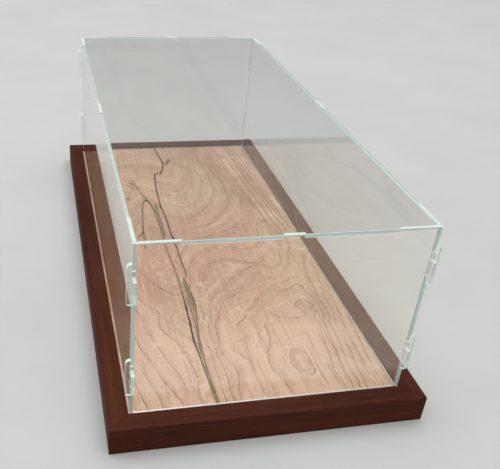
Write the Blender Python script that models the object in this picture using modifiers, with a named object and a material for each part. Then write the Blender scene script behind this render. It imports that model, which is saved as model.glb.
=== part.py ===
"""Long table-top display case.

A flat-pack cover of five clear acrylic sheets, keyed together by fingers along its top edges and
by hooks at its four corners, stands on a maple panel inside a mitred dark wood frame.

Metres, +Z up. The origin is the centre of the underside. +X runs across the case, +Y along it,
and the front panel is the one at -Y.
"""

import math

import bmesh
import bpy

# ---- driving dimensions -------------------------------------------------------------------------
GAP = 0.0003  # running gap between pieces that meet face to face
REST = 0.0001  # gap under a piece that only rests on another

SHEET = 0.003  # acrylic sheet thickness
COVER_W = 0.250  # outside width of the cover, across X
COVER_L = 0.548  # outside length of the cover, along Y
COVER_H = 0.1716  # height of the cover

END_CORNER_FINGER = 0.0365  # finger at each end of a front or back panel's top edge
END_MIDDLE_FINGER = 0.0172
SIDE_CORNER_FINGER = 0.0384  # the same on a side panel, measured from the cover's corner
SIDE_MIDDLE_FINGER = 0.028

EAR_OUT = 0.0043  # how far an ear of an end panel stands out past the side panel
EAR_TOP = 0.018  # depths below the top edge of the cover
EAR_BOTTOM = 0.0563
EAR_TOP_R = 0.004
EAR_BOTTOM_R = 0.002
WINDOW_TOP = 0.0247
WINDOW_BOTTOM = 0.0476
HOOK_TOP = 0.0315
HOOK_BOTTOM = 0.0538
HOOK_OUT = 0.0053  # how far a hook stands out in front of the end panel
HOOK_TOE_R = 0.003
HOOK_BROW_R = 0.0008
CATCH_DROPS = (0.0, 0.094)  # the upper catch at each corner, and how much lower the second one is

BORDER = 0.020  # frame showing outside the cover
LIP_GAP = 0.0015  # between the cover and the frame's inner edge
LIP = 0.0022  # depth of the maple panel below the top of the frame
MAPLE_T = 0.019
BACKING_T = 0.006
REBATE_W = 0.010  # rebate under each rail, which holds the backing board
EASE_OUTER_R = 0.0012
EASE_INNER_R = 0.0005

SPLINE_T = 0.003
SPLINE_ACROSS = 0.012
SPLINE_ALONG = 0.010

SCREW_HEAD_R = 0.0034
SCREW_HEAD_H = 0.0022
SCREW_CORE_R = 0.0012
SCREW_THREAD_R = 0.0017
SCREW_L = 0.016
SCREW_THREADS = 7
SCREW_SINK = 0.0004  # head below the face of the backing board
SCREW_LONG_SIDE_Y = (-0.220, 0.0, 0.220)
SCREW_SHORT_SIDE_X = (-0.070, 0.070)
RECESS_L = 0.0036  # cross recess in a screw's head
RECESS_W = 0.0008
RECESS_D = 0.0012

# ---- worked out from them -----------------------------------------------------------------------
BASE_W = COVER_W + 2 * BORDER
BASE_L = COVER_L + 2 * BORDER
REBATE_H = BACKING_T + GAP
MAPLE_TOP = REBATE_H + MAPLE_T
BASE_H = MAPLE_TOP + LIP
RAIL_W = BORDER - LIP_GAP
WELL_W = BASE_W - 2 * RAIL_W
WELL_L = BASE_L - 2 * RAIL_W
COVER_Z = MAPLE_TOP + REST
SHEET_MID = SHEET / 2
SCREW_INSET = REBATE_W / 2
ARC_STEPS = 6
ROUND_STEPS = 16


# ---- helpers ------------------------------------------------------------------------------------
def clear_scene():
    for obj in list(bpy.data.objects):
        bpy.data.objects.remove(obj, do_unlink=True)


def new_collection(name):
    collection = bpy.data.collections.new(name)
    bpy.context.scene.collection.children.link(collection)
    return collection


def new_material(name, color, roughness, metallic=0.0, transmission=0.0):
    material = bpy.data.materials.new(name)
    material.use_nodes = True
    shader = material.node_tree.nodes["Principled BSDF"]
    shader.inputs["Base Color"].default_value = (*color, 1.0)
    shader.inputs["Roughness"].default_value = roughness
    shader.inputs["Metallic"].default_value = metallic
    shader.inputs["Transmission Weight"].default_value = transmission
    shader.inputs["IOR"].default_value = 1.49
    material.diffuse_color = (*color, 0.35 if transmission else 1.0)
    return material


def add_object(name, mesh, material, collection=None, parent=None):
    obj = bpy.data.objects.new(name, mesh)
    if material and not mesh.materials:
        mesh.materials.append(material)
    (collection or PARTS).objects.link(obj)
    obj.parent = parent
    return obj


def make_cutter(obj):
    obj.hide_render = True
    obj.display_type = "WIRE"
    return obj


def add_empty(name, z, parent=None):
    empty = bpy.data.objects.new(name, None)
    empty.location.z = z
    empty.parent = parent
    empty.empty_display_size = 0.03
    PARTS.objects.link(empty)
    return empty


def rounded(corners):
    """Points of a closed outline from (x, y, radius) corners, each round one drawn as an arc."""
    points = []
    for i, (x, y, radius) in enumerate(corners):
        if not radius:
            points.append((x, y))
            continue
        before, after = corners[i - 1], corners[(i + 1) % len(corners)]
        angle_in = math.atan2(before[1] - y, before[0] - x)
        angle_out = math.atan2(after[1] - y, after[0] - x)
        half = (angle_out - angle_in + math.pi) % (2 * math.pi) - math.pi
        middle = angle_in + half / 2
        reach = radius / math.sin(abs(half) / 2)
        centre = (x + reach * math.cos(middle), y + reach * math.sin(middle))
        turn = math.copysign(math.pi - abs(half), half)
        for step in range(ARC_STEPS + 1):
            spoke = middle + math.pi + turn * (0.5 - step / ARC_STEPS)
            points.append((centre[0] + radius * math.cos(spoke), centre[1] + radius * math.sin(spoke)))
    return points


def box_outline(x0, x1, y0, y1):
    return [(x0, y0), (x1, y0), (x1, y1), (x0, y1)]


def plate_mesh(name, outlines, thickness):
    """A flat plate about its own XY plane. The first outline is its edge, and the rest are holes."""
    curve = bpy.data.curves.new(name, "CURVE")
    curve.dimensions = "2D"
    curve.fill_mode = "BOTH"
    curve.extrude = thickness / 2
    for outline in outlines:
        spline = curve.splines.new("POLY")
        spline.points.add(len(outline) - 1)
        for point, (x, y) in zip(spline.points, outline):
            point.co = (x, y, 0.0, 1.0)
        spline.use_cyclic_u = True
    guide = bpy.data.objects.new(name + "_outline", curve)
    bpy.context.scene.collection.objects.link(guide)
    graph = bpy.context.evaluated_depsgraph_get()
    mesh = bpy.data.meshes.new_from_object(guide.evaluated_get(graph))
    mesh.name = name
    bpy.data.objects.remove(guide, do_unlink=True)
    work = bmesh.new()
    work.from_mesh(mesh)
    bmesh.ops.remove_doubles(work, verts=work.verts, dist=1e-6)
    bmesh.ops.recalc_face_normals(work, faces=work.faces)
    work.to_mesh(mesh)
    work.free()
    return mesh


def box_mesh(name, size):
    mesh = bpy.data.meshes.new(name)
    work = bmesh.new()
    bmesh.ops.create_cube(work, size=1.0)
    bmesh.ops.scale(work, vec=size, verts=work.verts)
    work.to_mesh(mesh)
    work.free()
    return mesh


def turned_mesh(name, profile):
    """A solid turned about Z from (radius, z) points that run down its outer side."""
    mesh = bpy.data.meshes.new(name + "_profile")
    edges = [(i, i + 1) for i in range(len(profile) - 1)]
    mesh.from_pydata([(radius, 0.0, z) for radius, z in profile], edges, [])
    guide = bpy.data.objects.new(name + "_profile", mesh)
    bpy.context.scene.collection.objects.link(guide)
    screw = guide.modifiers.new("Turn", "SCREW")
    screw.axis = "Z"
    screw.steps = ROUND_STEPS
    screw.render_steps = ROUND_STEPS
    screw.use_merge_vertices = True
    screw.merge_threshold = 0.00001
    graph = bpy.context.evaluated_depsgraph_get()
    turned = bpy.data.meshes.new_from_object(guide.evaluated_get(graph))
    turned.name = name
    bpy.data.objects.remove(guide, do_unlink=True)
    turned.shade_smooth()
    turned.set_sharp_from_angle(angle=math.radians(30))
    return turned


def cut(obj, cutter):
    modifier = obj.modifiers.new(cutter.name, "BOOLEAN")
    modifier.operation = "DIFFERENCE"
    modifier.solver = "EXACT"
    modifier.object = cutter


def mirrored(half):
    """A closed outline from its +X half, listed from the bottom centre line up."""
    return half + [(-x, y) for x, y in reversed(half)]


# ---- acrylic cover ------------------------------------------------------------------------------
def top_edge(half_width, corner_finger_from, middle_finger):
    """The +X half of a panel's top edge, with its fingers, from the corner to the centre line."""
    notch = COVER_H - SHEET - REST
    return [
        (half_width, COVER_H),
        (corner_finger_from, COVER_H),
        (corner_finger_from, notch),
        (middle_finger / 2, notch),
        (middle_finger / 2, COVER_H),
    ]


def end_panel_mesh(name):
    """The front or back panel, with the four ears whose windows take the side panels' hooks."""
    edge = COVER_W / 2
    window_x0 = edge - SHEET - GAP
    window_x1 = edge + GAP
    corners = [(edge, 0.0, 0.0)]
    windows = []
    for drop in reversed(CATCH_DROPS):
        top = COVER_H - drop
        corners += [
            (edge, top - EAR_BOTTOM, 0.0),
            (edge + EAR_OUT, top - EAR_BOTTOM, EAR_BOTTOM_R),
            (edge + EAR_OUT, top - EAR_TOP, EAR_TOP_R),
            (edge, top - EAR_TOP, 0.0),
        ]
        for x0, x1 in ((window_x0, window_x1), (-window_x1, -window_x0)):
            windows.append(box_outline(x0, x1, top - WINDOW_BOTTOM, top - WINDOW_TOP))
    corners.append((edge, COVER_H, 0.0))
    ears = rounded(corners)[:-1]
    fingers = top_edge(edge, edge - END_CORNER_FINGER, END_MIDDLE_FINGER)
    return plate_mesh(name, [mirrored(ears + fingers)] + windows, SHEET)


def side_panel_mesh(name):
    """A side panel, which stands between the end panels and hooks through their windows."""
    edge = COVER_L / 2 - SHEET - GAP
    face = COVER_L / 2
    corners = [(edge, 0.0, 0.0)]
    for drop in reversed(CATCH_DROPS):
        top = COVER_H - drop
        corners += [
            (edge, top - WINDOW_BOTTOM + GAP, 0.0),
            (face + GAP, top - WINDOW_BOTTOM + GAP, 0.0),
            (face + GAP, top - HOOK_BOTTOM, 0.0),
            (face + HOOK_OUT, top - HOOK_BOTTOM, HOOK_TOE_R),
            (face + HOOK_OUT, top - HOOK_TOP, HOOK_BROW_R),
            (edge, top - HOOK_TOP, 0.0),
        ]
    corners.append((edge, COVER_H, 0.0))
    hooks = rounded(corners)[:-1]
    fingers = top_edge(edge, face - SIDE_CORNER_FINGER, SIDE_MIDDLE_FINGER)
    return plate_mesh(name, [mirrored(hooks + fingers)], SHEET)


def top_panel_mesh(name):
    """The lid, whose tabs lie between the fingers and end flush with the cover's sides."""
    side_in, side_out = COVER_W / 2 - SHEET - GAP, COVER_W / 2
    end_in, end_out = COVER_L / 2 - SHEET - GAP, COVER_L / 2
    side_near, side_far = SIDE_MIDDLE_FINGER / 2 + GAP, end_out - SIDE_CORNER_FINGER - GAP
    end_near, end_far = END_MIDDLE_FINGER / 2 + GAP, side_out - END_CORNER_FINGER - GAP
    half = [
        (side_in, -end_in),
        (side_in, -side_far),
        (side_out, -side_far),
        (side_out, -side_near),
        (side_in, -side_near),
        (side_in, side_near),
        (side_out, side_near),
        (side_out, side_far),
        (side_in, side_far),
        (side_in, end_in),
        (end_far, end_in),
        (end_far, end_out),
        (end_near, end_out),
        (end_near, end_in),
        (-end_near, end_in),
        (-end_near, end_out),
        (-end_far, end_out),
        (-end_far, end_in),
    ]
    return plate_mesh(name, [half + [(-x, -y) for x, y in half]], SHEET)


def build_cover(acrylic):
    cover_lift = add_empty("cover_lift", COVER_Z)
    sides_lift = add_empty("side_panels_unhook", 0.0, cover_lift)
    top_lift = add_empty("top_panel_lift", COVER_H - SHEET_MID, sides_lift)

    for name, side in (("front_panel", -1), ("back_panel", 1)):
        panel = add_object(name, end_panel_mesh(name), acrylic, parent=cover_lift)
        panel.rotation_euler.x = math.pi / 2
        panel.location.y = side * (COVER_L / 2 - SHEET_MID)

    for name, side in (("left_panel", -1), ("right_panel", 1)):
        panel = add_object(name, side_panel_mesh(name), acrylic, parent=sides_lift)
        panel.rotation_euler = (math.pi / 2, 0.0, math.pi / 2)
        panel.location.x = side * (COVER_W / 2 - SHEET_MID)

    add_object("top_panel", top_panel_mesh("top_panel"), acrylic, parent=top_lift)


# ---- wooden base --------------------------------------------------------------------------------
def rail_mesh(name, length):
    """A rail along its own Y, outer face at x = 0 and well side at +X, with mitred ends."""
    section = rounded(
        [
            (0.0, 0.0, 0.0),
            (RAIL_W - REBATE_W, 0.0, 0.0),
            (RAIL_W - REBATE_W, REBATE_H, 0.0),
            (RAIL_W, REBATE_H, 0.0),
            (RAIL_W, BASE_H, EASE_INNER_R),
            (0.0, BASE_H, EASE_OUTER_R),
        ]
    )
    mesh = plate_mesh(name, [section], length)
    for vertex in mesh.vertices:
        x, z, y = vertex.co
        mitred_end = length / 2 - x - GAP / 2
        vertex.co = (x, -math.copysign(mitred_end, y), z)
    return mesh


def screw_places():
    """(name, x, y) of each screw under the backing board."""
    side_x = WELL_W / 2 + SCREW_INSET
    end_y = WELL_L / 2 + SCREW_INSET
    places = []
    for side, x in (("left", -side_x), ("right", side_x)):
        for y, where in zip(SCREW_LONG_SIDE_Y, ("front", "middle", "back")):
            places.append((f"backing_screw_{side}_{where}", x, y))
    for end, y in (("front", -end_y), ("back", end_y)):
        for x, where in zip(SCREW_SHORT_SIDE_X, ("left", "right")):
            places.append((f"backing_screw_{end}_{where}", x, y))
    return places


def screw_mesh():
    """A countersunk wood screw, head down at z = 0 and point up, with its thread as ridges."""
    pitch = (SCREW_L - SCREW_HEAD_H - 0.004) / SCREW_THREADS
    thread_from = SCREW_HEAD_H + 0.002
    profile = [(0.0, SCREW_L), (SCREW_CORE_R, SCREW_L - 0.002)]
    for turn in reversed(range(SCREW_THREADS)):
        z = thread_from + pitch * turn
        profile += [(SCREW_THREAD_R, z + pitch / 2), (SCREW_CORE_R, z)]
    profile += [(SCREW_CORE_R, SCREW_HEAD_H), (SCREW_HEAD_R, 0.0), (0.0, 0.0)]
    blank = add_object("screw_blank", turned_mesh("backing_screw", profile), None, CUTTERS)
    for turn in (0.0, math.pi / 2):
        bar = box_mesh("recess_bar", (RECESS_L, RECESS_W, 2 * RECESS_D))
        bar_object = make_cutter(add_object("recess_bar", bar, None, CUTTERS))
        bar_object.rotation_euler.z = turn
        cut(blank, bar_object)
    make_cutter(blank)
    graph = bpy.context.evaluated_depsgraph_get()
    mesh = bpy.data.meshes.new_from_object(blank.evaluated_get(graph))
    mesh.name = "backing_screw"
    return mesh


def screw_hole_mesh():
    """The clearance that a screw needs: its own outline, larger all round by the running gap."""
    head = SCREW_HEAD_R + GAP
    shank = SCREW_THREAD_R + GAP
    cone_top = SCREW_SINK + SCREW_HEAD_H
    end = SCREW_SINK + SCREW_L + GAP
    below = -0.001
    profile = [(0.0, end), (shank, end), (shank, cone_top), (head, SCREW_SINK), (head, below), (0.0, below)]
    return turned_mesh("screw_hole", profile)


def build_base(frame_wood, maple, plywood, spline_wood, steel):
    hole_mesh = screw_hole_mesh()
    holes = []
    for name, x, y in screw_places():
        hole = make_cutter(add_object(name.replace("screw", "screw_hole"), hole_mesh, None, CUTTERS))
        hole.location = (x, y, 0.0)
        holes.append(hole)

    slots = {}
    spline_z = (REBATE_H + BASE_H) / 2
    spline_size = (SPLINE_ACROSS, SPLINE_ALONG, SPLINE_T)
    slot_size = tuple(side + 2 * GAP for side in spline_size)
    for end, y_side in (("front", -1), ("back", 1)):
        for side, x_side in (("left", -1), ("right", 1)):
            corner = f"{end}_{side}"
            place = (x_side * (BASE_W - RAIL_W) / 2, y_side * (BASE_L - RAIL_W) / 2, spline_z)
            across = -x_side * y_side * math.pi / 4
            spline_mesh = box_mesh(f"mitre_spline_{corner}", spline_size)
            spline = add_object(f"mitre_spline_{corner}", spline_mesh, spline_wood)
            slot_mesh = box_mesh(f"spline_slot_{corner}", slot_size)
            slots[corner] = make_cutter(add_object(f"spline_slot_{corner}", slot_mesh, None, CUTTERS))
            for piece in (spline, slots[corner]):
                piece.location = place
                piece.rotation_euler.z = across

    rails = (
        ("left", BASE_L, (-BASE_W / 2, 0.0), 0.0),
        ("front", BASE_W, (0.0, -BASE_L / 2), math.pi / 2),
        ("right", BASE_L, (BASE_W / 2, 0.0), math.pi),
        ("back", BASE_W, (0.0, BASE_L / 2), -math.pi / 2),
    )
    for side, length, (x, y), turn in rails:
        name = f"frame_rail_{side}"
        rail = add_object(name, rail_mesh(name, length), frame_wood)
        rail.location = (x, y, 0.0)
        rail.rotation_euler.z = turn
        for corner, slot in slots.items():
            if side in corner.split("_"):
                cut(rail, slot)
        for hole in holes:
            if hole.name.split("_")[3] == side:
                cut(rail, hole)

    backing_size = (WELL_W + 2 * (REBATE_W - GAP), WELL_L + 2 * (REBATE_W - GAP), BACKING_T)
    backing = add_object("backing_board", box_mesh("backing_board", backing_size), plywood)
    backing.location.z = BACKING_T / 2
    for hole in holes:
        cut(backing, hole)

    maple_size = (WELL_W - 2 * GAP, WELL_L - 2 * GAP, MAPLE_T)
    panel = add_object("maple_panel", box_mesh("maple_panel", maple_size), maple)
    panel.location.z = REBATE_H + MAPLE_T / 2

    shared_screw = screw_mesh()
    for name, x, y in screw_places():
        screw = add_object(name, shared_screw, steel)
        screw.location = (x, y, SCREW_SINK)


clear_scene()
PARTS = new_collection("display_case")
CUTTERS = new_collection("cutters")
build_base(
    frame_wood=new_material("dark_stained_wood", (0.075, 0.030, 0.022), 0.38),
    maple=new_material("spalted_maple", (0.62, 0.44, 0.32), 0.45),
    plywood=new_material("birch_plywood", (0.58, 0.43, 0.27), 0.65),
    spline_wood=new_material("beech", (0.52, 0.34, 0.20), 0.60),
    steel=new_material("zinc_plated_steel", (0.62, 0.62, 0.60), 0.35, metallic=1.0),
)
build_cover(acrylic=new_material("clear_acrylic", (0.93, 0.98, 0.95), 0.03, transmission=1.0))
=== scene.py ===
"""Looks of the long table-top display case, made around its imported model.

Metres, +Z up, the same frame as the model: +X runs across the case and -Y is its front.
"""

import math

import bmesh
import bpy
import numpy as np
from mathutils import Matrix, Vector, noise


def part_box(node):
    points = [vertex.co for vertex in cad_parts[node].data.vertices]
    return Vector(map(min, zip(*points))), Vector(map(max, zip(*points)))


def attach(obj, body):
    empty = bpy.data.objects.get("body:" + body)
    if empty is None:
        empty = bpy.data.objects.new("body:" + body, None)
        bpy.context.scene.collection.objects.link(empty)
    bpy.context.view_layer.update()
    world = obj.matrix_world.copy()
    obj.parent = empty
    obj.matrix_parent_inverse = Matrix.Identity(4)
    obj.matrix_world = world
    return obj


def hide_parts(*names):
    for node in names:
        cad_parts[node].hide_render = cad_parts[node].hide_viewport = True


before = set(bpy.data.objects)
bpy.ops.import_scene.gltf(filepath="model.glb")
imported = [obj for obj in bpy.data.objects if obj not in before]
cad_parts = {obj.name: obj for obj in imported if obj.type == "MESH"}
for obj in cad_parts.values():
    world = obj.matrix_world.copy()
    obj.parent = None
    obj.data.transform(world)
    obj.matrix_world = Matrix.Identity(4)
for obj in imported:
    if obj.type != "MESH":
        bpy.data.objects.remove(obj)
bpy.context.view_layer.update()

MM = 0.001

# ---- sizes of the looks -------------------------------------------------------------------------
SHEET_EASE = 0.16 * MM  # the tiny chamfer that the cutter leaves on an acrylic edge
MAPLE_EASE = 0.35 * MM  # the rounding of the maple's top edge
MAPLE_CELL = 3.0 * MM  # mesh size of the maple's top, fine enough to carry its growth rings
CRACK_STEP = 2.5 * MM  # spacing of the points along a crack
CRACK_DEPTH = 0.45  # depth of a crack as a share of its width
CRACK_SIDES = 3  # how finely its hollow is rounded
CRACK_WANDER = 0.25  # how far it strays to either side, in millimetres
CRACK_SWELL = 0.45  # how much its width varies, as a share
WANDER_PACE = 0.3  # how often it strays, to the millimetre
SWELL_PACE = 0.5  # how often its width varies, to the millimetre
NOISE_APART = 9.0  # keeps the noise of its width apart from that of its straying
CRACK_TIP = 0.35  # width of its two ends, as a share
STAIN_REACH = 2.2  # how far the spalt stain spreads beside a crack, in millimetres
STAIN_FALL = 1.4  # how sharply it ends there
RING_UNIT = 100.0  # length in millimetres that the ring field counts as one
RING_SLACK = 2e-4  # how loosely the field may pass its points
SLOPE_STEP = 0.5  # reach in millimetres over which its slope is taken
SLOPE_LIMITS = (0.008, 0.6)  # ring levels per millimetre
RING_WANDER = 5.5  # how far a ring strays in long waves, in millimetres
RING_SHIVER = 4.4  # how far it strays in short ones
RING_LINE = (0.72, 0.18)  # where a ring line begins and is full, in millimetres from its middle
FINE_LINE = (0.85, 0.10)
SAME_POINT = 1e-6  # points closer than this are one
FACING = 0.9  # least part of a face's normal that lies along the way it faces
FLAT_ANGLE = math.radians(1)
SHARP_ANGLE = math.radians(30)
PLY_PAIR = 2.4 * MM  # a pale and a dark layer of the plywood
FLOOR_REACH = 6.0  # half the floor's width
FLOOR_DROP = 0.1 * MM  # keeps the floor just under the rails

# ---- sizes of the grain, in cells to the metre across, along and down ---------------------------
BROAD_FIBRES = (160.0, 5.0, 160.0)
FINE_FIBRES = (1100.0, 24.0, 1100.0)
PORE_CELLS = (900.0, 90.0, 900.0)
PORE_PATCHES = (300.0, 14.0, 300.0)
RAIL_STAIN = (45.0, 4.0, 45.0)
RING_BREAKS = (46.0, 30.0, 46.0)
MAPLE_STREAKS = (420.0, 17.0, 420.0)
MAPLE_MOTTLE_AND_SHEEN = (70.0, 95.0, 70.0)
MAPLE_CLOUDS = (14.0, 6.0, 14.0)
BIRCH_WAVES = (38.0, 5.0, 38.0)
ZINC_SCRATCHES = (2500.0, 600.0, 2500.0)
CUT_LINES = (3000.0, 3000.0, 3000.0)

# ---- colours ------------------------------------------------------------------------------------
MAPLE_PINK = (0.560, 0.314, 0.220)
MAPLE_TAN = (0.525, 0.330, 0.218)
MAPLE_FRONT = (0.720, 0.440, 0.335)
MAPLE_BLUSH = (0.455, 0.225, 0.150)
MAPLE_BROWN = (0.285, 0.132, 0.066)
MAPLE_LIGHT = (0.800, 0.568, 0.448)
MAPLE_LINE = (0.215, 0.086, 0.032)
MAPLE_STAIN = (0.190, 0.105, 0.030)
SPALT_DARK = (0.018, 0.009, 0.002)
SPALT_BROWN = (0.085, 0.044, 0.012)
RAIL_DARK = (0.038, 0.0092, 0.0050)
RAIL_RED = (0.088, 0.0225, 0.0115)
RAIL_PORE = (0.012, 0.005, 0.004)
RAIL_DUST = (0.25, 0.21, 0.18)
BIRCH_PALE = (0.62, 0.45, 0.27)
BIRCH_WARM = (0.52, 0.355, 0.20)
BIRCH_FIBRE = (0.40, 0.26, 0.14)
BIRCH_PORE = (0.25, 0.15, 0.08)
BIRCH_LAYER = (0.27, 0.16, 0.085)
BEECH_DARK = (0.47, 0.29, 0.16)
BEECH_PALE = (0.60, 0.40, 0.25)
BEECH_PORE = (0.26, 0.14, 0.07)
ZINC_BRIGHT = (0.66, 0.66, 0.63)
ZINC_DULL = (0.50, 0.50, 0.46)
ZINC_SPECK = (0.18, 0.15, 0.12)
FACE_TINT = (0.985, 0.995, 0.988)
FACE_DULL = (0.965, 0.98, 0.97)
FACE_SHADE = (0.93, 0.96, 0.945)  # how much of a lamp's light passes a face
# Cut edges: the acrylic's green with a painted glow, a pale diffuse colour standing in for light
# piped along the sheet.
CUT_PAINTED_GLOW = (0.86, 0.97, 0.92)
CUT_SMUDGED_PAINTED_GLOW = (0.80, 0.93, 0.87)
CUT_SHADE = (0.70, 0.78, 0.73)
# Painted shade: a grey that darkens the edge where a sheet stands on the maple.
REST_PAINTED_SHADE = (0.56, 0.56, 0.50)
REST_SMUDGED_PAINTED_SHADE = (0.48, 0.49, 0.44)
FLOOR_PALE = (0.49, 0.495, 0.49)
FLOOR_GREY = (0.465, 0.47, 0.465)
ROOM_WALL = (0.29, 0.295, 0.295)
ROOM_HORIZON = (0.56, 0.565, 0.56)
ROOM_OVERHEAD = (1.98, 1.965, 1.93)

ACRYLIC_IOR = 1.49

# ---- lamps and camera ---------------------------------------------------------------------------
# Name, place, the point it faces, width, height, power and colour of each softbox.
SOFTBOXES = (
    ("key_softbox", (0.6, 1.2, 3.8), (0.0, 0.0, 0.0), 3.0, 2.6, 24.0, (1.0, 0.985, 0.96)),
    ("side_softbox", (-1.7, 0.5, 1.5), (0.0, 0.0, 0.0), 1.0, 1.4, 9.0, (0.96, 0.98, 1.0)),
    ("front_softbox", (0.5, -2.0, 1.1), (0.0, 0.0, 0.1), 1.6, 1.0, 2.0, (0.98, 0.99, 1.0)),
)
CAMERA_NEAR = 0.01
CAMERA_SENSOR = 36.0
CAMERA_PLACE = (-0.18497, -0.69856, 0.46214)
CAMERA_TURN = (58.0591, -3.2509, -11.2803)  # degrees
CAMERA_LENS = 49.677
CAMERA_SHIFT = (0.12683, 0.02715)

# ---- the maple's figure, in millimetres from the middle of the panel ----------------------------
# Each growth ring is a level line of one smooth field: (level, points along the line).
RINGS_RIGHT = (
    (-0.45, ((47, -236), (47, -227), (48, -218))),
    (0, ((47, -208), (55, -219), (56, -234), (48, -246), (39, -237), (38, -219))),
    (1, ((25, -270), (21, -250), (16, -232), (17, -215), (25, -195), (27, -172), (37, -150))),
    (1, ((45, -151), (55, -159), (65, -161), (75, -159), (85, -147), (90, -140), (90, -152))),
    (1, ((86, -180), (80, -215), (77, -270))),
    (2, ((2, -270), (-2, -250), (-4, -220), (1, -185), (0, -163), (10, -155), (25, -135))),
    (2, ((35, -120), (43, -110), (50, -108), (62, -111), (77, -109), (84, -101), (90, -106))),
    (2, ((93, -125), (95, -150), (90, -190), (86, -230), (84, -270))),
    (3, ((-26, -270), (-28, -200), (-22, -160), (-10, -128), (5, -117), (20, -102), (35, -87))),
    (3, ((45, -74), (52, -75), (59, -85), (72, -79), (82, -70), (91, -55), (97, -35), (103, 0))),
    (3, ((99, 50), (95, 100), (91, 150), (87, 210), (85, 270))),
    (3, ((110, -60), (104, -90), (100, -130), (96, -180), (92, -230), (90, -270))),
    (2, ((108, 50), (101, 130), (95, 200), (91, 270))),
    (1.2, ((114, 60), (108, 130), (102, 200), (97, 270))),
    (0.4, ((121, 80), (115, 130), (109, 200), (104, 270))),
    (-0.4, ((127, 120), (118, 200), (112, 270))),
    (-1.2, ((126, 205), (121, 270))),
    (4, ((-31, -270), (-32, -200), (-22, -135), (-10, -110), (5, -95), (20, -77), (35, -66))),
    (4, ((52, -60), (70, -66), (82, -55), (92, -25), (97, 0), (93, 60), (87, 130), (80, 200))),
    (4, ((77, 270),)),
    (5, ((-33, -150), (-27, -100), (-15, -70), (-5, -52), (10, -45), (25, -44), (40, -52))),
    (5, ((52, -55), (62, -42), (77, -29), (88, -5), (88, 40), (84, 100), (77, 170), (70, 270))),
    (6, ((-34, -90), (-25, -45), (-5, -22), (20, -15), (45, -22), (60, -15), (72, 10))),
    (6, ((82, 45), (79, 100), (71, 170), (63, 270))),
    (7, ((-34, -30), (-10, 2), (20, 12), (45, 25), (58, 40), (68, 52), (75, 50), (73, 100))),
    (7, ((66, 160), (56, 270))),
    (8, ((-34, 20), (-15, 24), (5, 30), (25, 45), (42, 65), (55, 90), (60, 150), (48, 270))),
    (9, ((-34, 62), (-15, 55), (0, 58), (20, 78), (35, 105), (45, 150), (42, 270))),
    (10, ((-34, 97), (-20, 88), (-5, 84), (12, 98), (25, 130), (33, 180), (34, 270))),
    (11, ((-34, 128), (-18, 115), (-4, 116), (10, 140), (20, 190), (25, 270))),
    (12, ((-31, 157), (-14, 145), (-2, 152), (9, 190), (15, 270))),
    (13, ((-24, 180), (-10, 176), (-1, 200), (5, 270))),
    (14, ((-12, 213), (-6, 232), (-6, 270))),
    (4.3, ((122, -60), (115, -110), (108, -160), (103, -215), (100, -270))),
    (5.6, ((125, -130), (116, -185), (112, -230), (110, -270))),
    (6.8, ((125, -200), (121, -240), (119, -270))),
)
RINGS_LEFT = (
    (20, ((-57, 88), (-57, 40), (-58, -10), (-60, -60), (-55, -150), (-53, -270))),
    (21, ((-44, -270), (-42, -130), (-41, -40), (-41, 40), (-44, 95), (-54, 113), (-66, 97))),
    (21, ((-73, 50), (-82, 10), (-92, -50), (-84, -62), (-75, -80), (-62, -100), (-56, -106))),
    (22, ((-100, -90), (-88, -120), (-76, -140), (-70, -180), (-62, -204), (-59, -270))),
    (22, ((-88, 60), (-78, 115), (-56, 145), (-40, 135), (-38, 60))),
    (23, ((-110, -60), (-104, -120), (-95, -160), (-84, -200), (-72, -240), (-67, -270))),
    (23, ((-104, 60), (-92, 140), (-60, 182), (-38, 172))),
    (24, ((-120, -80), (-112, -140), (-100, -200), (-90, -235), (-77, -270))),
    (24, ((-116, 60), (-106, 165), (-66, 218), (-30, 208))),
    (25, ((-125, -120), (-116, -185), (-104, -235), (-94, -270))),
    (25, ((-124, 80), (-116, 200), (-72, 252), (-22, 246))),
    (26, ((-125, -180), (-118, -225), (-108, -270), (-122, 240), (-90, 272))),
)
# Where the right-hand field gives way to the left-hand one.
RING_SPLIT = (
    (-14, 280), (-13, 220), (-21, 184), (-33, 170), (-38, 90),
    (-36, -10), (-36, -70), (-39, -130), (-45, -275),
)

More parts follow.
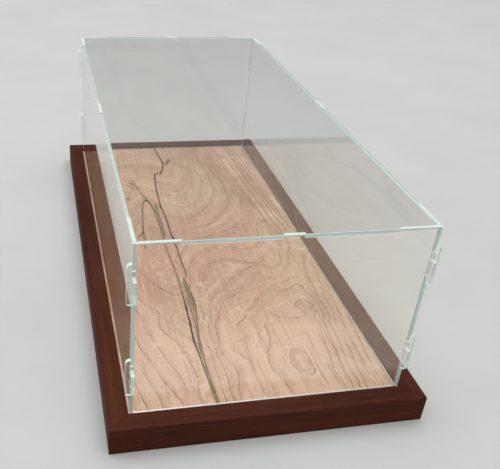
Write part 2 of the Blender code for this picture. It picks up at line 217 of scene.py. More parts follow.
# Dark cracks left by the spalting: (x, y, width) down the middle of each.
CRACKS = {
    "long": (
        (-17.5, 277, 1.3), (-15.5, 250, 1.3), (-13.7, 230, 1.5), (-13.2, 221, 2.1),
        (-13.7, 212, 1.6), (-17.5, 197, 1.5), (-20.5, 186, 2.6), (-23.5, 183, 1.8),
        (-27.5, 186, 1.4), (-31.2, 180, 1.3), (-33.7, 160, 1.3), (-36.2, 135, 1.2),
        (-37.5, 97, 1.5), (-38.2, 88, 2.2), (-37, 77, 1.3), (-36.2, 47, 1.2), (-37, 14, 1.5),
        (-36, 8, 2.6), (-35, 3, 1.6), (-35, -15, 1.1), (-35.5, -42, 1.2), (-34.4, -62, 1.0),
        (-35.4, -74, 0.7),
    ),
    "wide": (
        (-39.2, -76, 0.5), (-38.0, -90, 0.8), (-37.0, -105, 1.1), (-36.4, -118, 1.3),
        (-37.0, -130, 1.0), (-38.8, -142, 0.8), (-41, -158, 0.7), (-43.2, -176, 0.7),
        (-45.0, -195, 0.7), (-45.8, -215, 0.7), (-46.0, -245, 0.7), (-45.4, -277, 0.8),
    ),
    "wide_left": (
        (-40.5, -82, 0.5), (-41.0, -98, 0.8), (-40.6, -112, 0.8), (-40.0, -126, 0.6),
        (-39.9, -136, 0.4),
    ),
    "wide_middle": ((-39.2, -92, 0.4), (-39.0, -106, 0.5), (-38.5, -120, 0.5), (-38.7, -134, 0.4)),
    "arch": (
        (-47.4, -252, 0.5), (-48.0, -232, 0.8), (-49.0, -207, 1.1), (-50, -184, 1.9),
        (-49.2, -170, 1.5), (-48.2, -157, 2.0), (-47.6, -143, 1.3), (-47, -130, 2.0),
        (-46.5, -118, 1.2), (-46, -100, 0.8), (-45.5, -77, 0.7), (-46.2, -45, 0.7),
        (-48.7, -2, 0.7), (-47.5, 10, 0.7), (-47, 47, 0.8), (-47.5, 72, 0.9), (-50, 92, 1.1),
        (-52, 101, 1.6), (-53.7, 107, 2.4), (-57, 104, 1.4), (-60, 97, 1.0), (-63.7, 77, 0.8),
        (-66.2, 55, 0.8), (-68, 40, 0.8), (-69.5, 27, 1.0), (-71.5, 22, 1.2), (-75, 17, 1.3),
        (-77.5, 13, 0.8),
    ),
    "fork": ((-69.8, 26, 0.8), (-70.8, 12, 0.9), (-71.5, 0, 0.7), (-73, -12, 0.5)),
    "thin": (
        (-43.6, -112, 0.5), (-42.6, -130, 0.6), (-42.6, -150, 0.6), (-44.6, -176, 0.6),
        (-47.6, -206, 0.5),
    ),
    "double": ((-48.6, -212, 0.5), (-48.2, -232, 0.6), (-47.6, -255, 0.6), (-46.8, -277, 0.5)),
    "hair": ((-43.5, 96, 0.5), (-44.6, 70, 0.7), (-44.0, 40, 0.6), (-45.0, 12, 0.5)),
    "fleck_1": ((-72, 160, 0.9), (-68.7, 157, 1.8), (-66, 150, 0.9)),
    "fleck_2": ((-61.8, 145, 0.8), (-61, 141, 1.6), (-60, 137, 0.7)),
    "fleck_3": (
        (-4.2, 229, 0.7), (-3.7, 224, 1.7), (-5.5, 220, 1.0), (-7.4, 216, 1.5), (-9.5, 212, 0.7),
    ),
    "fleck_4": ((-80, 113, 0.8), (-77.5, 112, 1.5), (-75, 109, 0.7)),
    "fleck_5": ((-58, 124, 0.5), (-55.5, 117, 1.0), (-53.9, 109, 1.0)),
    "fleck_6": ((-76, 152, 0.5), (-71, 149, 0.8), (-68, 144, 0.6), (-69, 139, 0.4)),
    "fleck_7": ((-66.5, 166, 0.4), (-63.5, 158, 0.7), (-64.5, 150, 0.6), (-61.5, 146, 0.5)),
    "fleck_8": ((-3.0, 233, 0.4), (-1.6, 226, 0.9), (-2.6, 219, 0.5)),
    "fleck_9": ((-10.5, 222, 0.5), (-8.2, 219, 0.8), (-6.2, 213, 0.6)),
    "fleck_10": ((-60, 132, 0.4), (-57.5, 127, 0.7), (-58.6, 121, 0.5)),
}


# ---- node helpers -------------------------------------------------------------------------------
def add_node(tree, kind, **settings):
    node = tree.nodes.new("ShaderNode" + kind)
    for name, value in settings.items():
        setattr(node, name, value)
    return node


def feed(tree, socket, value):
    """Links a socket to this input, or sets the input's own value."""
    if isinstance(value, bpy.types.NodeSocket):
        tree.links.new(value, socket)
    elif isinstance(value, (tuple, list)) and len(socket.default_value) == 4 and len(value) == 3:
        socket.default_value = (*value, 1.0)
    else:
        socket.default_value = value


def calc(tree, operation, *values):
    node = add_node(tree, "Math", operation=operation)
    for socket, value in zip(node.inputs, values):
        feed(tree, socket, value)
    return node.outputs[0]


def plus(tree, first, second):
    return calc(tree, "ADD", first, second)


def minus(tree, first, second):
    return calc(tree, "SUBTRACT", first, second)


def times(tree, first, second):
    return calc(tree, "MULTIPLY", first, second)


def blend_colors(tree, factor, first, second):
    node = add_node(tree, "Mix", data_type="RGBA", clamp_factor=True)
    feed(tree, node.inputs[0], factor)
    feed(tree, node.inputs[6], first)
    feed(tree, node.inputs[7], second)
    return node.outputs[2]


def laid_over(tree, color, *coats):
    """The colour with further ones over it, each a mask and a colour, in their order."""
    for mask, coat in coats:
        color = blend_colors(tree, mask, color, coat)
    return color


def fade(tree, value, low, high, out_low=0.0, out_high=1.0):
    """A smooth step of value from low to high."""
    node = add_node(tree, "MapRange", interpolation_type="SMOOTHSTEP")
    limits = {"From Min": low, "From Max": high, "To Min": out_low, "To Max": out_high}
    for name, number in limits.items():
        feed(tree, node.inputs[name], number)
    feed(tree, node.inputs["Value"], value)
    return node.outputs["Result"]


def stretched(tree, vector, scale):
    """The vector times a scale for each axis."""
    node = add_node(tree, "Mapping")
    feed(tree, node.inputs["Vector"], vector)
    feed(tree, node.inputs["Scale"], scale)
    return node.outputs["Vector"]


def clouds(tree, vector, scale, detail=3.0, roughness=0.5, distortion=0.0):
    """Noise from 0 to 1, centred on 0.5. Its scale is in cells to the metre."""
    node = add_node(tree, "TexNoise")
    feed(tree, node.inputs["Vector"], vector)
    feed(tree, node.inputs["Scale"], scale)
    feed(tree, node.inputs["Detail"], detail)
    feed(tree, node.inputs["Roughness"], roughness)
    feed(tree, node.inputs["Distortion"], distortion)
    return node.outputs["Fac"]


def drawn_out(tree, vector, scale, detail, roughness=0.5, distortion=0.0):
    """Noise with its own scale for each axis."""
    return clouds(tree, stretched(tree, vector, scale), 1.0, detail, roughness, distortion)


def scattered_cells(tree, vector, scale):
    node = add_node(tree, "TexVoronoi", feature="F1")
    feed(tree, node.inputs["Vector"], vector)
    feed(tree, node.inputs["Scale"], scale)
    return node.outputs


def relief(tree, height, strength, distance):
    node = add_node(tree, "Bump")
    feed(tree, node.inputs["Height"], height)
    feed(tree, node.inputs["Strength"], strength)
    feed(tree, node.inputs["Distance"], distance)
    return node.outputs["Normal"]


def own_place(tree):
    return add_node(tree, "TexCoord").outputs["Object"]


def split_axes(tree, vector):
    node = add_node(tree, "SeparateXYZ")
    feed(tree, node.inputs["Vector"], vector)
    return node.outputs


def stored(tree, name):
    """A number that the mesh carries at each of its points."""
    return add_node(tree, "Attribute", attribute_name=name).outputs["Fac"]


def new_group(name, inputs, outputs):
    """A shader node group, with its input node's and output node's sockets by name."""
    tree = bpy.data.node_groups.new(name, "ShaderNodeTree")
    for label, kind, value in inputs:
        socket = tree.interface.new_socket(label, in_out="INPUT", socket_type="NodeSocket" + kind)
        if value is not None:
            socket.default_value = value
    for label, kind in outputs:
        tree.interface.new_socket(label, in_out="OUTPUT", socket_type="NodeSocket" + kind)
    inside = tree.nodes.new("NodeGroupInput")
    outside = tree.nodes.new("NodeGroupOutput")
    return tree, inside.outputs, outside.inputs


def use_group(tree, group, **values):
    node = add_node(tree, "Group", node_tree=group)
    for name, value in values.items():
        feed(tree, node.inputs[name.replace("_", " ")], value)
    return node.outputs


def new_material(name):
    material = bpy.data.materials.new(name)
    material.use_nodes = True
    tree = material.node_tree
    return material, tree, tree.nodes["Principled BSDF"]


# ---- shared effects -----------------------------------------------------------------------------
def make_grain_group():
    """Fine wood fibres and pores that run along the given vector's Y."""
    inputs = (("Vector", "Vector", None), ("Fibres", "Float", 1.0), ("Pores", "Float", 1.0))
    outputs = (("Tone", "Float"), ("Pore", "Float"), ("Height", "Float"))
    tree, given, result = new_group("wood_grain", inputs, outputs)
    place = given["Vector"]
    broad = drawn_out(tree, place, BROAD_FIBRES, 4.0, 0.6)
    fine = drawn_out(tree, place, FINE_FIBRES, 3.0, 0.55)
    both = plus(tree, times(tree, broad, 0.55), times(tree, fine, 0.45))
    tone = plus(tree, times(tree, minus(tree, both, 0.5), given["Fibres"]), 0.5)
    cells = scattered_cells(tree, stretched(tree, place, PORE_CELLS), 1.0)
    dots = fade(tree, cells["Distance"], 0.30, 0.12)
    rare = fade(tree, drawn_out(tree, place, PORE_PATCHES, 2.0), 0.50, 0.62)
    pore = times(tree, times(tree, dots, rare), given["Pores"])
    feed(tree, result["Tone"], tone)
    feed(tree, result["Pore"], pore)
    feed(tree, result["Height"], minus(tree, tone, pore))
    return tree


def make_handling_group():
    """Soft smudges and small specks of dust from being handled. The sizes are in metres."""
    inputs = (
        ("Vector", "Vector", None),
        ("Smudge Size", "Float", 0.05),
        ("Speck Size", "Float", 0.002),
    )
    outputs = (("Smudge", "Float"), ("Speck", "Float"))
    tree, given, result = new_group("handling_marks", inputs, outputs)
    place = given["Vector"]
    patches = clouds(tree, place, calc(tree, "DIVIDE", 1.0, given["Smudge Size"]), 4.0, 0.6, 0.4)
    feed(tree, result["Smudge"], fade(tree, patches, 0.45, 0.72))
    cells = scattered_cells(tree, place, calc(tree, "DIVIDE", 1.0, given["Speck Size"]))
    near = fade(tree, cells["Distance"], 0.16, 0.05)
    lot = add_node(tree, "SeparateColor")
    feed(tree, lot.inputs["Color"], cells["Color"])
    chosen = fade(tree, lot.outputs[0], 0.86, 0.9)
    feed(tree, result["Speck"], times(tree, near, chosen))
    return tree


# ---- materials ----------------------------------------------------------------------------------
def make_stained_wood(name, along_x, grain, marks):
    """Dark stained frame wood: fibres along the rail, uneven stain, smudges and specks of dust."""
    material, tree, shader = new_material(name)
    place = own_place(tree)
    if along_x:
        turn = add_node(tree, "Mapping")
        feed(tree, turn.inputs["Vector"], place)
        feed(tree, turn.inputs["Rotation"], (0.0, 0.0, math.pi / 2))
        fibre_place = turn.outputs["Vector"]
    else:
        fibre_place = place
    fibres = use_group(tree, grain, Vector=fibre_place, Fibres=1.6, Pores=0.8)
    smudges = use_group(tree, marks, Vector=place, Smudge_Size=0.05, Speck_Size=0.0025)
    stain = drawn_out(tree, fibre_place, RAIL_STAIN, 4.0, 0.6, 0.6)
    tone = plus(tree, times(tree, fibres["Tone"], 0.6), times(tree, stain, 0.4))
    wood = laid_over(
        tree,
        blend_colors(tree, fade(tree, tone, 0.30, 0.72), RAIL_DARK, RAIL_RED),
        (fibres["Pore"], RAIL_PORE),
        (times(tree, smudges["Speck"], 0.35), RAIL_DUST),
    )
    feed(tree, shader.inputs["Base Color"], wood)
    rough = plus(tree, 0.56, times(tree, smudges["Smudge"], 0.08))
    rough = plus(tree, rough, times(tree, fibres["Pore"], 0.2))
    feed(tree, shader.inputs["Roughness"], rough)
    feed(tree, shader.inputs["Specular IOR Level"], 0.06)
    feed(tree, shader.inputs["Normal"], relief(tree, fibres["Height"], 0.35, 0.4 * MM))
    return material


def strayed_ring(tree, place, slope):
    """The stored ring level, moved by a few millimetres so that no ring runs quite smoothly."""
    wander = minus(tree, clouds(tree, place, 36.0, 3.0, 0.55), 0.5)
    shiver = minus(tree, clouds(tree, place, 260.0, 4.0, 0.7), 0.5)
    shift = plus(tree, times(tree, wander, RING_WANDER), times(tree, shiver, RING_SHIVER))
    return plus(tree, stored(tree, "ring"), times(tree, shift, slope))


def ring_distance(tree, level, slope):
    """Distance in millimetres to the nearest whole level."""
    nearest = calc(tree, "ABSOLUTE", minus(tree, level, calc(tree, "ROUND", level)))
    return calc(tree, "DIVIDE", nearest, slope)


def make_maple(grain, marks):
    """Pale figured maple: growth rings from the mesh's own ring field, fibres, flecks, stain and a
    mottle partly painted as sheen.
    """
    material, tree, shader = new_material("spalted_maple")
    place = own_place(tree)
    axes = split_axes(tree, place)
    slope = stored(tree, "ring_slope")
    level = strayed_ring(tree, place, slope)

    # A ring line at each whole level, fainter ones at the quarters, and darker wood before a line.
    drawn = fade(tree, drawn_out(tree, place, RING_BREAKS, 4.0), 0.36, 0.58, 0.08, 1.0)
    line = times(tree, fade(tree, ring_distance(tree, level, slope), *RING_LINE), drawn)
    quarter = ring_distance(tree, times(tree, level, 4.0), times(tree, slope, 4.0))
    fine_line = times(tree, fade(tree, quarter, *FINE_LINE), fade(tree, slope, 0.04, 0.10))
    fine_line = times(tree, fine_line, drawn)
    late = calc(tree, "POWER", calc(tree, "FRACT", level), 4.0)

    # Veins and threads follow the rings: one axis of their noise is the ring level.
    follow = add_node(tree, "CombineXYZ")
    feed(tree, follow.inputs["X"], times(tree, level, 2.4))
    feed(tree, follow.inputs["Y"], times(tree, axes["Y"], 8.0))
    feed(tree, follow.inputs["Z"], times(tree, axes["X"], 6.0))
    figure = follow.outputs["Vector"]
    veins = clouds(tree, figure, 1.0, 6.0, 0.68, 0.35)
    threads = drawn_out(tree, figure, (4.6, 2.2, 2.2), 5.0, 0.68, 0.1)
    straight = drawn_out(tree, figure, (1.9, 0.5, 0.5), 4.0, 0.6)

    # The straight-grained lane at the back right, and the darker patch in front of the middle.
    lane = times(tree, fade(tree, axes["X"], 0.062, 0.085), fade(tree, axes["Y"], -0.02, 0.05))
    blush = times(tree, fade(tree, axes["Y"], -0.19, -0.09), fade(tree, axes["Y"], 0.10, 0.0))
    blush = times(tree, blush, fade(tree, axes["X"], 0.09, 0.03))

    fibres = use_group(tree, grain, Vector=place, Fibres=1.0, Pores=0.5)
    streak = drawn_out(tree, place, MAPLE_STREAKS, 5.0, 0.66)
    mottle_and_sheen = drawn_out(tree, place, MAPLE_MOTTLE_AND_SHEEN, 5.0, 0.62, 1.4)
    broad = drawn_out(tree, place, MAPLE_CLOUDS, 3.0, 0.5, 0.5)
    halo = calc(tree, "POWER", stored(tree, "spalt"), 2.0)
    stained = times(tree, halo, fade(tree, mottle_and_sheen, 0.25, 0.6, 0.35, 1.0))
    wood = laid_over(
        tree,
        blend_colors(tree, fade(tree, broad, 0.35, 0.65), MAPLE_PINK, MAPLE_TAN),
        (times(tree, blush, 0.75), MAPLE_BLUSH),
        (fade(tree, axes["Y"], -0.12, -0.21, 0.0, 0.55), MAPLE_FRONT),
        (fade(tree, veins, 0.50, 0.30, 0.0, 0.30), MAPLE_BROWN),
        (fade(tree, veins, 0.52, 0.74, 0.0, 0.45), MAPLE_LIGHT),
        (fade(tree, threads, 0.45, 0.28, 0.0, 0.42), MAPLE_BROWN),
        (fade(tree, threads, 0.55, 0.72, 0.0, 0.55), MAPLE_LIGHT),
        (times(tree, late, 0.26), MAPLE_BROWN),
        # Mottled figure: its light patches are partly real figure and partly a painted chatoyant
        # sheen.
        (fade(tree, mottle_and_sheen, 0.54, 0.76, 0.0, 0.60), MAPLE_LIGHT),
        (fade(tree, mottle_and_sheen, 0.44, 0.26, 0.0, 0.25), MAPLE_BROWN),
        (fade(tree, streak, 0.52, 0.70, 0.0, 0.30), MAPLE_LIGHT),
        (fade(tree, streak, 0.48, 0.30, 0.0, 0.42), MAPLE_BROWN),
        (times(tree, lane, fade(tree, straight, 0.48, 0.62, 0.0, 0.75)), MAPLE_LIGHT),
        (times(tree, lane, fade(tree, straight, 0.46, 0.34, 0.0, 0.45)), MAPLE_BROWN),
        (times(tree, fine_line, fade(tree, axes["Y"], -0.03, 0.07, 0.36, 0.68)), MAPLE_BROWN),
        (times(tree, line, fade(tree, axes["Y"], -0.03, 0.07, 0.84, 0.66)), MAPLE_LINE),
        (times(tree, fibres["Pore"], 0.30), MAPLE_LINE),
        (times(tree, stained, 0.78), MAPLE_STAIN),
    )
    feed(tree, shader.inputs["Base Color"], wood)
    smudges = use_group(tree, marks, Vector=place, Smudge_Size=0.06, Speck_Size=0.003)
    feed(tree, shader.inputs["Roughness"], plus(tree, 0.42, times(tree, smudges["Smudge"], 0.08)))
    feed(tree, shader.inputs["Normal"], relief(tree, fibres["Height"], 0.12, 0.3 * MM))
    return material


def make_spalt():
    """The dark brown, crumbling wood inside the cracks."""
    material, tree, shader = new_material("spalt_cracks")
    crumbs = clouds(tree, own_place(tree), 900.0, 4.0, 0.6)
    color = blend_colors(tree, fade(tree, crumbs, 0.35, 0.7), SPALT_DARK, SPALT_BROWN)
    feed(tree, shader.inputs["Base Color"], color)
    feed(tree, shader.inputs["Roughness"], 0.85)
    feed(tree, shader.inputs["Specular IOR Level"], 0.1)
    feed(tree, shader.inputs["Normal"], relief(tree, crumbs, 0.5, 0.5 * MM))
    return material


def make_plywood(grain, marks):
    """Sanded birch plywood: fibres along the board, with its layers on show at the edges."""
    material, tree, shader = new_material("birch_plywood")
    place = own_place(tree)
    fibres = use_group(tree, grain, Vector=place, Fibres=1.2, Pores=0.7)
    waves = drawn_out(tree, place, BIRCH_WAVES, 4.0, 0.55, 1.2)
    smudges = use_group(tree, marks, Vector=place, Smudge_Size=0.07, Speck_Size=0.004)
    layer = calc(tree, "FRACT", times(tree, split_axes(tree, place)["Z"], 1.0 / PLY_PAIR))
    facing = split_axes(tree, add_node(tree, "NewGeometry").outputs["Normal"])
    upright = minus(tree, 1.0, calc(tree, "ABSOLUTE", facing["Z"]))
    dark_layer = times(tree, fade(tree, layer, 0.48, 0.52), fade(tree, upright, 0.5, 0.8))
    wood = laid_over(
        tree,
        blend_colors(tree, fade(tree, waves, 0.35, 0.65), BIRCH_PALE, BIRCH_WARM),
        (times(tree, fade(tree, fibres["Tone"], 0.55, 0.3), 0.5), BIRCH_FIBRE),
        (times(tree, fibres["Pore"], 0.5), BIRCH_PORE),
        (times(tree, dark_layer, 0.7), BIRCH_LAYER),
    )
    feed(tree, shader.inputs["Base Color"], wood)
    feed(tree, shader.inputs["Roughness"], plus(tree, 0.58, times(tree, smudges["Smudge"], 0.12)))
    feed(tree, shader.inputs["Normal"], relief(tree, fibres["Height"], 0.4, 0.5 * MM))
    return material


def make_beech(grain):
    material, tree, shader = new_material("beech_spline")
    fibres = use_group(tree, grain, Vector=own_place(tree), Fibres=1.2, Pores=1.0)
    wood = blend_colors(tree, fade(tree, fibres["Tone"], 0.35, 0.65), BEECH_DARK, BEECH_PALE)
    feed(tree, shader.inputs["Base Color"], blend_colors(tree, fibres["Pore"], wood, BEECH_PORE))
    feed(tree, shader.inputs["Roughness"], 0.6)
    feed(tree, shader.inputs["Normal"], relief(tree, fibres["Height"], 0.4, 0.5 * MM))
    return material


def make_zinc(marks):
    """Bright zinc plating with fine turned scratches and a few dull patches."""
    material, tree, shader = new_material("zinc_plated_steel")
    place = own_place(tree)
    smudges = use_group(tree, marks, Vector=place, Smudge_Size=0.003, Speck_Size=0.0006)
    scratch = drawn_out(tree, place, ZINC_SCRATCHES, 3.0, 0.6)
    color = blend_colors(tree, smudges["Smudge"], ZINC_BRIGHT, ZINC_DULL)
    color = blend_colors(tree, smudges["Speck"], color, ZINC_SPECK)
    feed(tree, shader.inputs["Base Color"], color)
    feed(tree, shader.inputs["Metallic"], 1.0)
    feed(tree, shader.inputs["Roughness"], fade(tree, scratch, 0.3, 0.7, 0.22, 0.42))
    feed(tree, shader.inputs["Normal"], relief(tree, scratch, 0.25, 0.1 * MM))
    return material


def let_lamps_through(tree, shader, tint):
    """Lets rays from lamps and soft light reach what is behind the acrylic."""
    path = add_node(tree, "LightPath")
    see_through = add_node(tree, "BsdfTransparent")
    feed(tree, see_through.inputs["Color"], tint)
    pick = add_node(tree, "MixShader")
    lamp_ray = calc(tree, "MAXIMUM", path.outputs["Is Shadow Ray"], path.outputs["Is Diffuse Ray"])
    feed(tree, pick.inputs[0], lamp_ray)
    tree.links.new(shader.outputs["BSDF"], pick.inputs[1])
    tree.links.new(see_through.outputs["BSDF"], pick.inputs[2])
    tree.links.new(pick.outputs["Shader"], tree.nodes["Material Output"].inputs["Surface"])


def make_clear_acrylic(marks):
    """The faces of the clear sheets, with the faint unevenness of cast acrylic."""
    material, tree, shader = new_material("clear_acrylic")
    place = own_place(tree)
    smudges = use_group(tree, marks, Vector=place, Smudge_Size=0.05, Speck_Size=0.004)
    color = blend_colors(tree, smudges["Smudge"], FACE_TINT, FACE_DULL)
    feed(tree, shader.inputs["Base Color"], color)
    feed(tree, shader.inputs["Roughness"], 0.0)
    feed(tree, shader.inputs["IOR"], ACRYLIC_IOR)
    feed(tree, shader.inputs["Transmission Weight"], 1.0)
    feed(tree, shader.inputs["Normal"], relief(tree, clouds(tree, place, 12.0, 2.0), 0.02, MM))
    let_lamps_through(tree, shader, FACE_SHADE)
    return material


def make_cut_acrylic(name, marks, clearness, roughness, tint, dull_tint):
    """A laser-cut edge, a little frosted, with fine lines across the sheet. Its tint is partly the
    acrylic's green and partly painted light: a painted glow for light piped to the cut edges,
    painted shade where a sheet rests on the maple.
    """
    material, tree, shader = new_material(name)
    place = own_place(tree)
    smudges = use_group(tree, marks, Vector=place, Smudge_Size=0.02, Speck_Size=0.002)
    lines = drawn_out(tree, place, CUT_LINES, 1.0)
    rough = fade(tree, lines, 0.3, 0.7, roughness - 0.03, roughness + 0.03)
    feed(tree, shader.inputs["Base Color"], blend_colors(tree, smudges["Smudge"], tint, dull_tint))
    feed(tree, shader.inputs["Roughness"], rough)
    feed(tree, shader.inputs["IOR"], ACRYLIC_IOR)
    feed(tree, shader.inputs["Transmission Weight"], clearness)
    feed(tree, shader.inputs["Normal"], relief(tree, lines, 0.04, 0.03 * MM))
    let_lamps_through(tree, shader, CUT_SHADE)
    return material


def make_floor():
    material, tree, shader = new_material("pale_floor")
    paper = clouds(tree, own_place(tree), 6.0, 5.0, 0.6)
    color = blend_colors(tree, fade(tree, paper, 0.3, 0.7), FLOOR_GREY, FLOOR_PALE)
    feed(tree, shader.inputs["Base Color"], color)
    feed(tree, shader.inputs["Roughness"], 0.9)
    return material


# ---- pieces -------------------------------------------------------------------------------------
FACE, CUT_EDGE, RESTING_EDGE = range(3)


def add_piece(name, mesh, materials, body, node):
    mesh.name = name
    for material in materials[len(mesh.materials):]:
        mesh.materials.append(material)
    piece = bpy.data.objects.new(name, mesh)
    bpy.context.scene.collection.objects.link(piece)
    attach(piece, body)
    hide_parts(node)


def eased_sheet(node):
    """A copy of an acrylic sheet with its cut edges eased, each kind of face in its own slot."""
    low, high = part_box(node)
    size = high - low
    through = min(range(3), key=lambda axis: size[axis])
    work = bmesh.new()
    work.from_mesh(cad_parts[node].data)
    bmesh.ops.remove_doubles(work, verts=work.verts, dist=SAME_POINT)
    bmesh.ops.dissolve_limit(work, angle_limit=FLAT_ANGLE, verts=work.verts, edges=work.edges)
    for face in work.faces:
        if abs(face.normal[through]) > FACING:
            face.material_index = FACE
        elif face.normal.z < -FACING and face.calc_center_median().z < low.z + SHEET_EASE:
            face.material_index = RESTING_EDGE
        else:
            face.material_index = CUT_EDGE
    rims = [
        edge
        for edge in work.edges
        if len({face.material_index for face in edge.link_faces}) == 2
    ]
    bmesh.ops.bevel(
        work,
        geom=rims,
        offset=SHEET_EASE,
        segments=1,
        profile=0.5,
        affect="EDGES",
        material=CUT_EDGE,
    )
    mesh = bpy.data.meshes.new(node)
    work.to_mesh(mesh)
    work.free()
    if "custom_normal" in mesh.attributes:
        mesh.attributes.remove(mesh.attributes["custom_normal"])
    mesh.shade_smooth()
    mesh.set_sharp_from_angle(angle=SHARP_ANGLE)
    return mesh


def crack_cutter(points, top):
    """A closed tube along a crack, to be cut out of the maple. Its middle lies at the top."""
    stations = []
    for (x0, y0, w0), (x1, y1, w1) in zip(points, points[1:]):
        steps = max(1, round(math.dist((x0, y0), (x1, y1)) * MM / CRACK_STEP))
        for step in range(steps):
            share = step / steps
            x = x0 + (x1 - x0) * share
            y = y0 + (y1 - y0) * share
            stations.append((x, y, w0 + (w1 - w0) * share))
    stations.append(points[-1])
    curve = bpy.data.curves.new("crack", "CURVE")
    curve.dimensions = "3D"
    curve.bevel_depth = MM
    curve.bevel_resolution = CRACK_SIDES
    curve.use_fill_caps = True
    spline = curve.splines.new("POLY")
    spline.points.add(len(stations) - 1)
    for index, (point, (x, y, width)) in enumerate(zip(spline.points, stations)):
        side = noise.noise(Vector((x * WANDER_PACE, y * WANDER_PACE, 0.0))) * CRACK_WANDER
        uneven = noise.noise(Vector((x * SWELL_PACE, y * SWELL_PACE, NOISE_APART)))
        swell = 1.0 + CRACK_SWELL * uneven
        end = CRACK_TIP if index in (0, len(stations) - 1) else 1.0
        point.co = ((x + side) * MM, y * MM, 0.0, 1.0)
        point.radius = 0.5 * width * swell * end
    guide = bpy.data.objects.new("crack", curve)
    bpy.context.scene.collection.objects.link(guide)
    graph = bpy.context.evaluated_depsgraph_get()
    mesh = bpy.data.meshes.new_from_object(guide.evaluated_get(graph))
    bpy.data.objects.remove(guide, do_unlink=True)
    work = bmesh.new()
    work.from_mesh(mesh)
    bmesh.ops.remove_doubles(work, verts=work.verts, dist=SAME_POINT)
    bmesh.ops.scale(work, vec=(1.0, 1.0, 2 * CRACK_DEPTH), verts=work.verts)
    bmesh.ops.translate(work, vec=(0.0, 0.0, top), verts=work.verts)
    bmesh.ops.recalc_face_normals(work, faces=work.faces)
    work.to_mesh(mesh)
    work.free()
    cutter = bpy.data.objects.new("crack_cutter", mesh)
    bpy.context.scene.collection.objects.link(cutter)
    return cutter


def maple_blank(low, high):
    """The maple panel as a box with a finely divided top and an eased top edge."""
    size = high - low
    work = bmesh.new()
    bmesh.ops.create_grid(
        work,
        x_segments=round(size.x / MAPLE_CELL),
        y_segments=round(size.y / MAPLE_CELL),
        size=0.5,
    )
    bmesh.ops.scale(work, vec=(size.x, size.y, 1.0), verts=work.verts)
    bmesh.ops.translate(work, vec=(0.0, 0.0, high.z), verts=work.verts)
    rim = [edge for edge in work.edges if edge.is_boundary]
    made = bmesh.ops.extrude_edge_only(work, edges=rim)["geom"]
    lower = [item for item in made if isinstance(item, bmesh.types.BMVert)]
    bmesh.ops.translate(work, vec=(0.0, 0.0, -size.z), verts=lower)
    bmesh.ops.contextual_create(work, geom=[edge for edge in work.edges if edge.is_boundary])
    bmesh.ops.recalc_face_normals(work, faces=work.faces)
    bmesh.ops.bevel(
        work,
        geom=rim,
        offset=MAPLE_EASE,
        segments=2,
        profile=0.5,
        affect="EDGES",
        material=-1,
    )
    mesh = bpy.data.meshes.new("maple_panel")
    work.to_mesh(mesh)
    work.free()
    return mesh


def ring_field(rings):
    """A smooth field through the ring points, as a function of an array of places in mm."""
    points = np.array([(x, y) for _, line in rings for x, y in line], float)
    levels = np.array([level for level, line in rings for _ in line], float)

    def plate(gap):
        return np.where(gap > 0, gap * gap * np.log(np.maximum(gap, 1e-9)), 0.0)

    count = len(points)
    gaps = np.linalg.norm(points[:, None] - points[None], axis=2) / RING_UNIT
    system = np.zeros((count + 3, count + 3))
    system[:count, :count] = plate(gaps) + RING_SLACK * np.eye(count)
    system[:count, count:] = np.c_[np.ones(count), points / RING_UNIT]
    system[count:, :count] = system[:count, count:].T
    weights = np.linalg.solve(system, np.r_[levels, 0.0, 0.0, 0.0])

    def value(places):
        gap = np.linalg.norm(places[:, None] - points[None], axis=2) / RING_UNIT
        flat = np.c_[np.ones(len(places)), places / RING_UNIT]
        return plate(gap) @ weights[:count] + flat @ weights[count:]

    return value


def away_from(places, line):
    """Distance in mm of each place from a chain of points."""
    best = np.full(len(places), np.inf)
    for start, end in zip(line, line[1:]):
        a, b = np.array(start[:2], float), np.array(end[:2], float)
        along = np.clip((places - a) @ (b - a) / ((b - a) @ (b - a)), 0, 1)
        best = np.minimum(best, np.linalg.norm(places - a - along[:, None] * (b - a), axis=1))
    return best


def write_figure(mesh):
    """Stores the ring field, its slope and the spalt stain on the maple's points."""
    count = len(mesh.vertices)
    flat = np.zeros(count * 3, np.float32)
    mesh.vertices.foreach_get("co", flat)
    places = flat.reshape(-1, 3)[:, :2].astype(float) / MM
    split = np.array(sorted(RING_SPLIT, key=lambda point: point[1]), float)
    left = places[:, 0] < np.interp(places[:, 1], split[:, 1], split[:, 0])
    fields = [ring_field(RINGS_RIGHT), ring_field(RINGS_LEFT)]
    step = SLOPE_STEP

    def level(spots):
        return np.where(left, fields[1](spots), fields[0](spots))

    ring = level(places)
    slope = np.hypot(
        level(places + (step, 0)) - level(places - (step, 0)),
        level(places + (0, step)) - level(places - (0, step)),
    ) / (2 * step)
    near = np.full(count, np.inf)
    for line in CRACKS.values():
        near = np.minimum(near, away_from(places, line))
    figure = {
        "ring": ring,
        "ring_slope": np.clip(slope, *SLOPE_LIMITS),
        "spalt": np.exp(-((near / STAIN_REACH) ** STAIN_FALL)),
    }
    for name, values in figure.items():
        attribute = mesh.attributes.new(name, "FLOAT", "POINT")
        attribute.data.foreach_set("value", values.astype(np.float32))


def make_maple_panel(maple, spalt):
    low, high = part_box("maple_panel")
    blank = bpy.data.objects.new("maple_blank", maple_blank(low, high))
    bpy.context.scene.collection.objects.link(blank)
    cutters = [crack_cutter(line, high.z) for line in CRACKS.values()]
    blank.data.materials.append(maple)
    for cutter in cutters:
        cutter.data.materials.clear()
        cutter.data.materials.append(spalt)
        cut = blank.modifiers.new(cutter.name, "BOOLEAN")
        cut.operation = "DIFFERENCE"
        cut.solver = "EXACT"
        cut.material_mode = "TRANSFER"
        cut.object = cutter
    graph = bpy.context.evaluated_depsgraph_get()
    mesh = bpy.data.meshes.new_from_object(blank.evaluated_get(graph))
    for obj in [blank, *cutters]:
        bpy.data.objects.remove(obj, do_unlink=True)
    write_figure(mesh)
    add_piece("figured_maple_panel", mesh, (maple, spalt), "base", "maple_panel")


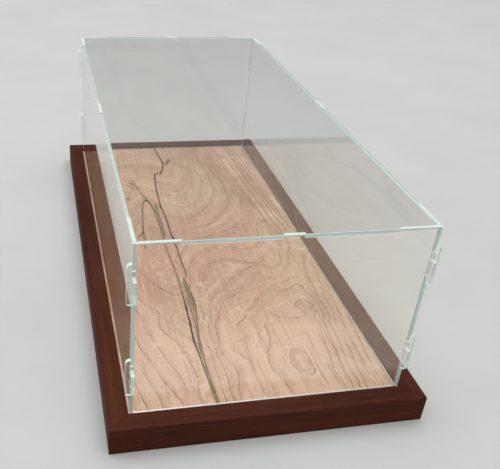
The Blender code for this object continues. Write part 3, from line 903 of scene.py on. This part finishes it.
def make_cover(finishes):
    panels = {
        "front_panel": "end_panels",
        "back_panel": "end_panels",
        "left_panel": "side_panels",
        "right_panel": "side_panels",
        "top_panel": "lid",
    }
    for node, body in panels.items():
        add_piece("clear_" + node, eased_sheet(node), finishes, body, node)


def finish_nodes(finishes):
    """Gives each kept node the material whose name its own starts with."""
    for name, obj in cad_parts.items():
        for start, material in finishes:
            if name.startswith(start):
                obj.data.materials.clear()
                obj.data.materials.append(material)
                break


# ---- stage, light and camera --------------------------------------------------------------------
def make_stage():
    work = bmesh.new()
    bmesh.ops.create_grid(work, x_segments=1, y_segments=1, size=FLOOR_REACH)
    bmesh.ops.translate(work, vec=(0.0, 0.0, -FLOOR_DROP), verts=work.verts)
    mesh = bpy.data.meshes.new("floor")
    work.to_mesh(mesh)
    work.free()
    mesh.materials.append(make_floor())
    floor = bpy.data.objects.new("floor", mesh)
    bpy.context.scene.collection.objects.link(floor)


def add_softbox(name, place, target, width, height, power, color):
    light = bpy.data.lights.new(name, "AREA")
    light.shape = "RECTANGLE"
    light.size = width
    light.size_y = height
    light.energy = power
    light.color = color
    obj = bpy.data.objects.new(name, light)
    obj.location = place
    obj.rotation_euler = (Vector(target) - Vector(place)).to_track_quat("-Z", "Y").to_euler()
    bpy.context.scene.collection.objects.link(obj)


def make_lights():
    """Three softboxes in a room that is paler at the horizon and bright overhead."""
    for softbox in SOFTBOXES:
        add_softbox(*softbox)
    world = bpy.data.worlds.new("studio")
    world.use_nodes = True
    tree = world.node_tree
    sky = tree.nodes["Background"]
    height = split_axes(tree, add_node(tree, "TexCoord").outputs["Generated"])["Z"]
    wall = blend_colors(tree, fade(tree, height, 0.16, 0.0), ROOM_WALL, ROOM_HORIZON)
    room = blend_colors(tree, fade(tree, height, 0.60, 0.84), wall, ROOM_OVERHEAD)
    feed(tree, sky.inputs["Color"], room)
    feed(tree, sky.inputs["Strength"], 1.0)
    bpy.context.scene.world = world
    bpy.context.scene.view_settings.view_transform = "Standard"


def make_camera():
    camera = bpy.data.cameras.new("camera")
    camera.lens = CAMERA_LENS
    camera.sensor_width = CAMERA_SENSOR
    camera.shift_x, camera.shift_y = CAMERA_SHIFT
    camera.clip_start = CAMERA_NEAR
    obj = bpy.data.objects.new("camera", camera)
    obj.location = CAMERA_PLACE
    obj.rotation_euler = [math.radians(angle) for angle in CAMERA_TURN]
    bpy.context.scene.collection.objects.link(obj)
    bpy.context.scene.camera = obj


# ---- put together -------------------------------------------------------------------------------
make_camera()
make_lights()
make_stage()
GRAIN = make_grain_group()
MARKS = make_handling_group()
RAIL_ACROSS = make_stained_wood("stained_wood_across", True, GRAIN, MARKS)
RAIL_ALONG = make_stained_wood("stained_wood_along", False, GRAIN, MARKS)
finish_nodes(
    (
        ("frame_rail_front", RAIL_ACROSS),
        ("frame_rail_back", RAIL_ACROSS),
        ("frame_rail_", RAIL_ALONG),
        ("backing_board", make_plywood(GRAIN, MARKS)),
        ("backing_screw_", make_zinc(MARKS)),
        ("mitre_spline_", make_beech(GRAIN)),
    )
)
make_maple_panel(make_maple(GRAIN, MARKS), make_spalt())
make_cover(
    (
        make_clear_acrylic(MARKS),
        # Cut edges: mostly diffuse, their pale colour a painted glow for light piped along the
        # sheet.
        make_cut_acrylic(
            "clear_acrylic_cut_edge",
            MARKS,
            clearness=0.30,
            roughness=0.27,
            tint=CUT_PAINTED_GLOW,
            dull_tint=CUT_SMUDGED_PAINTED_GLOW,
        ),
        # The resting edge: its grey tint is painted shade where the sheet meets the maple.
        make_cut_acrylic(
            "clear_acrylic_resting_edge",
            MARKS,
            clearness=0.90,
            roughness=0.08,
            tint=REST_PAINTED_SHADE,
            dull_tint=REST_SMUDGED_PAINTED_SHADE,
        ),
    )
)
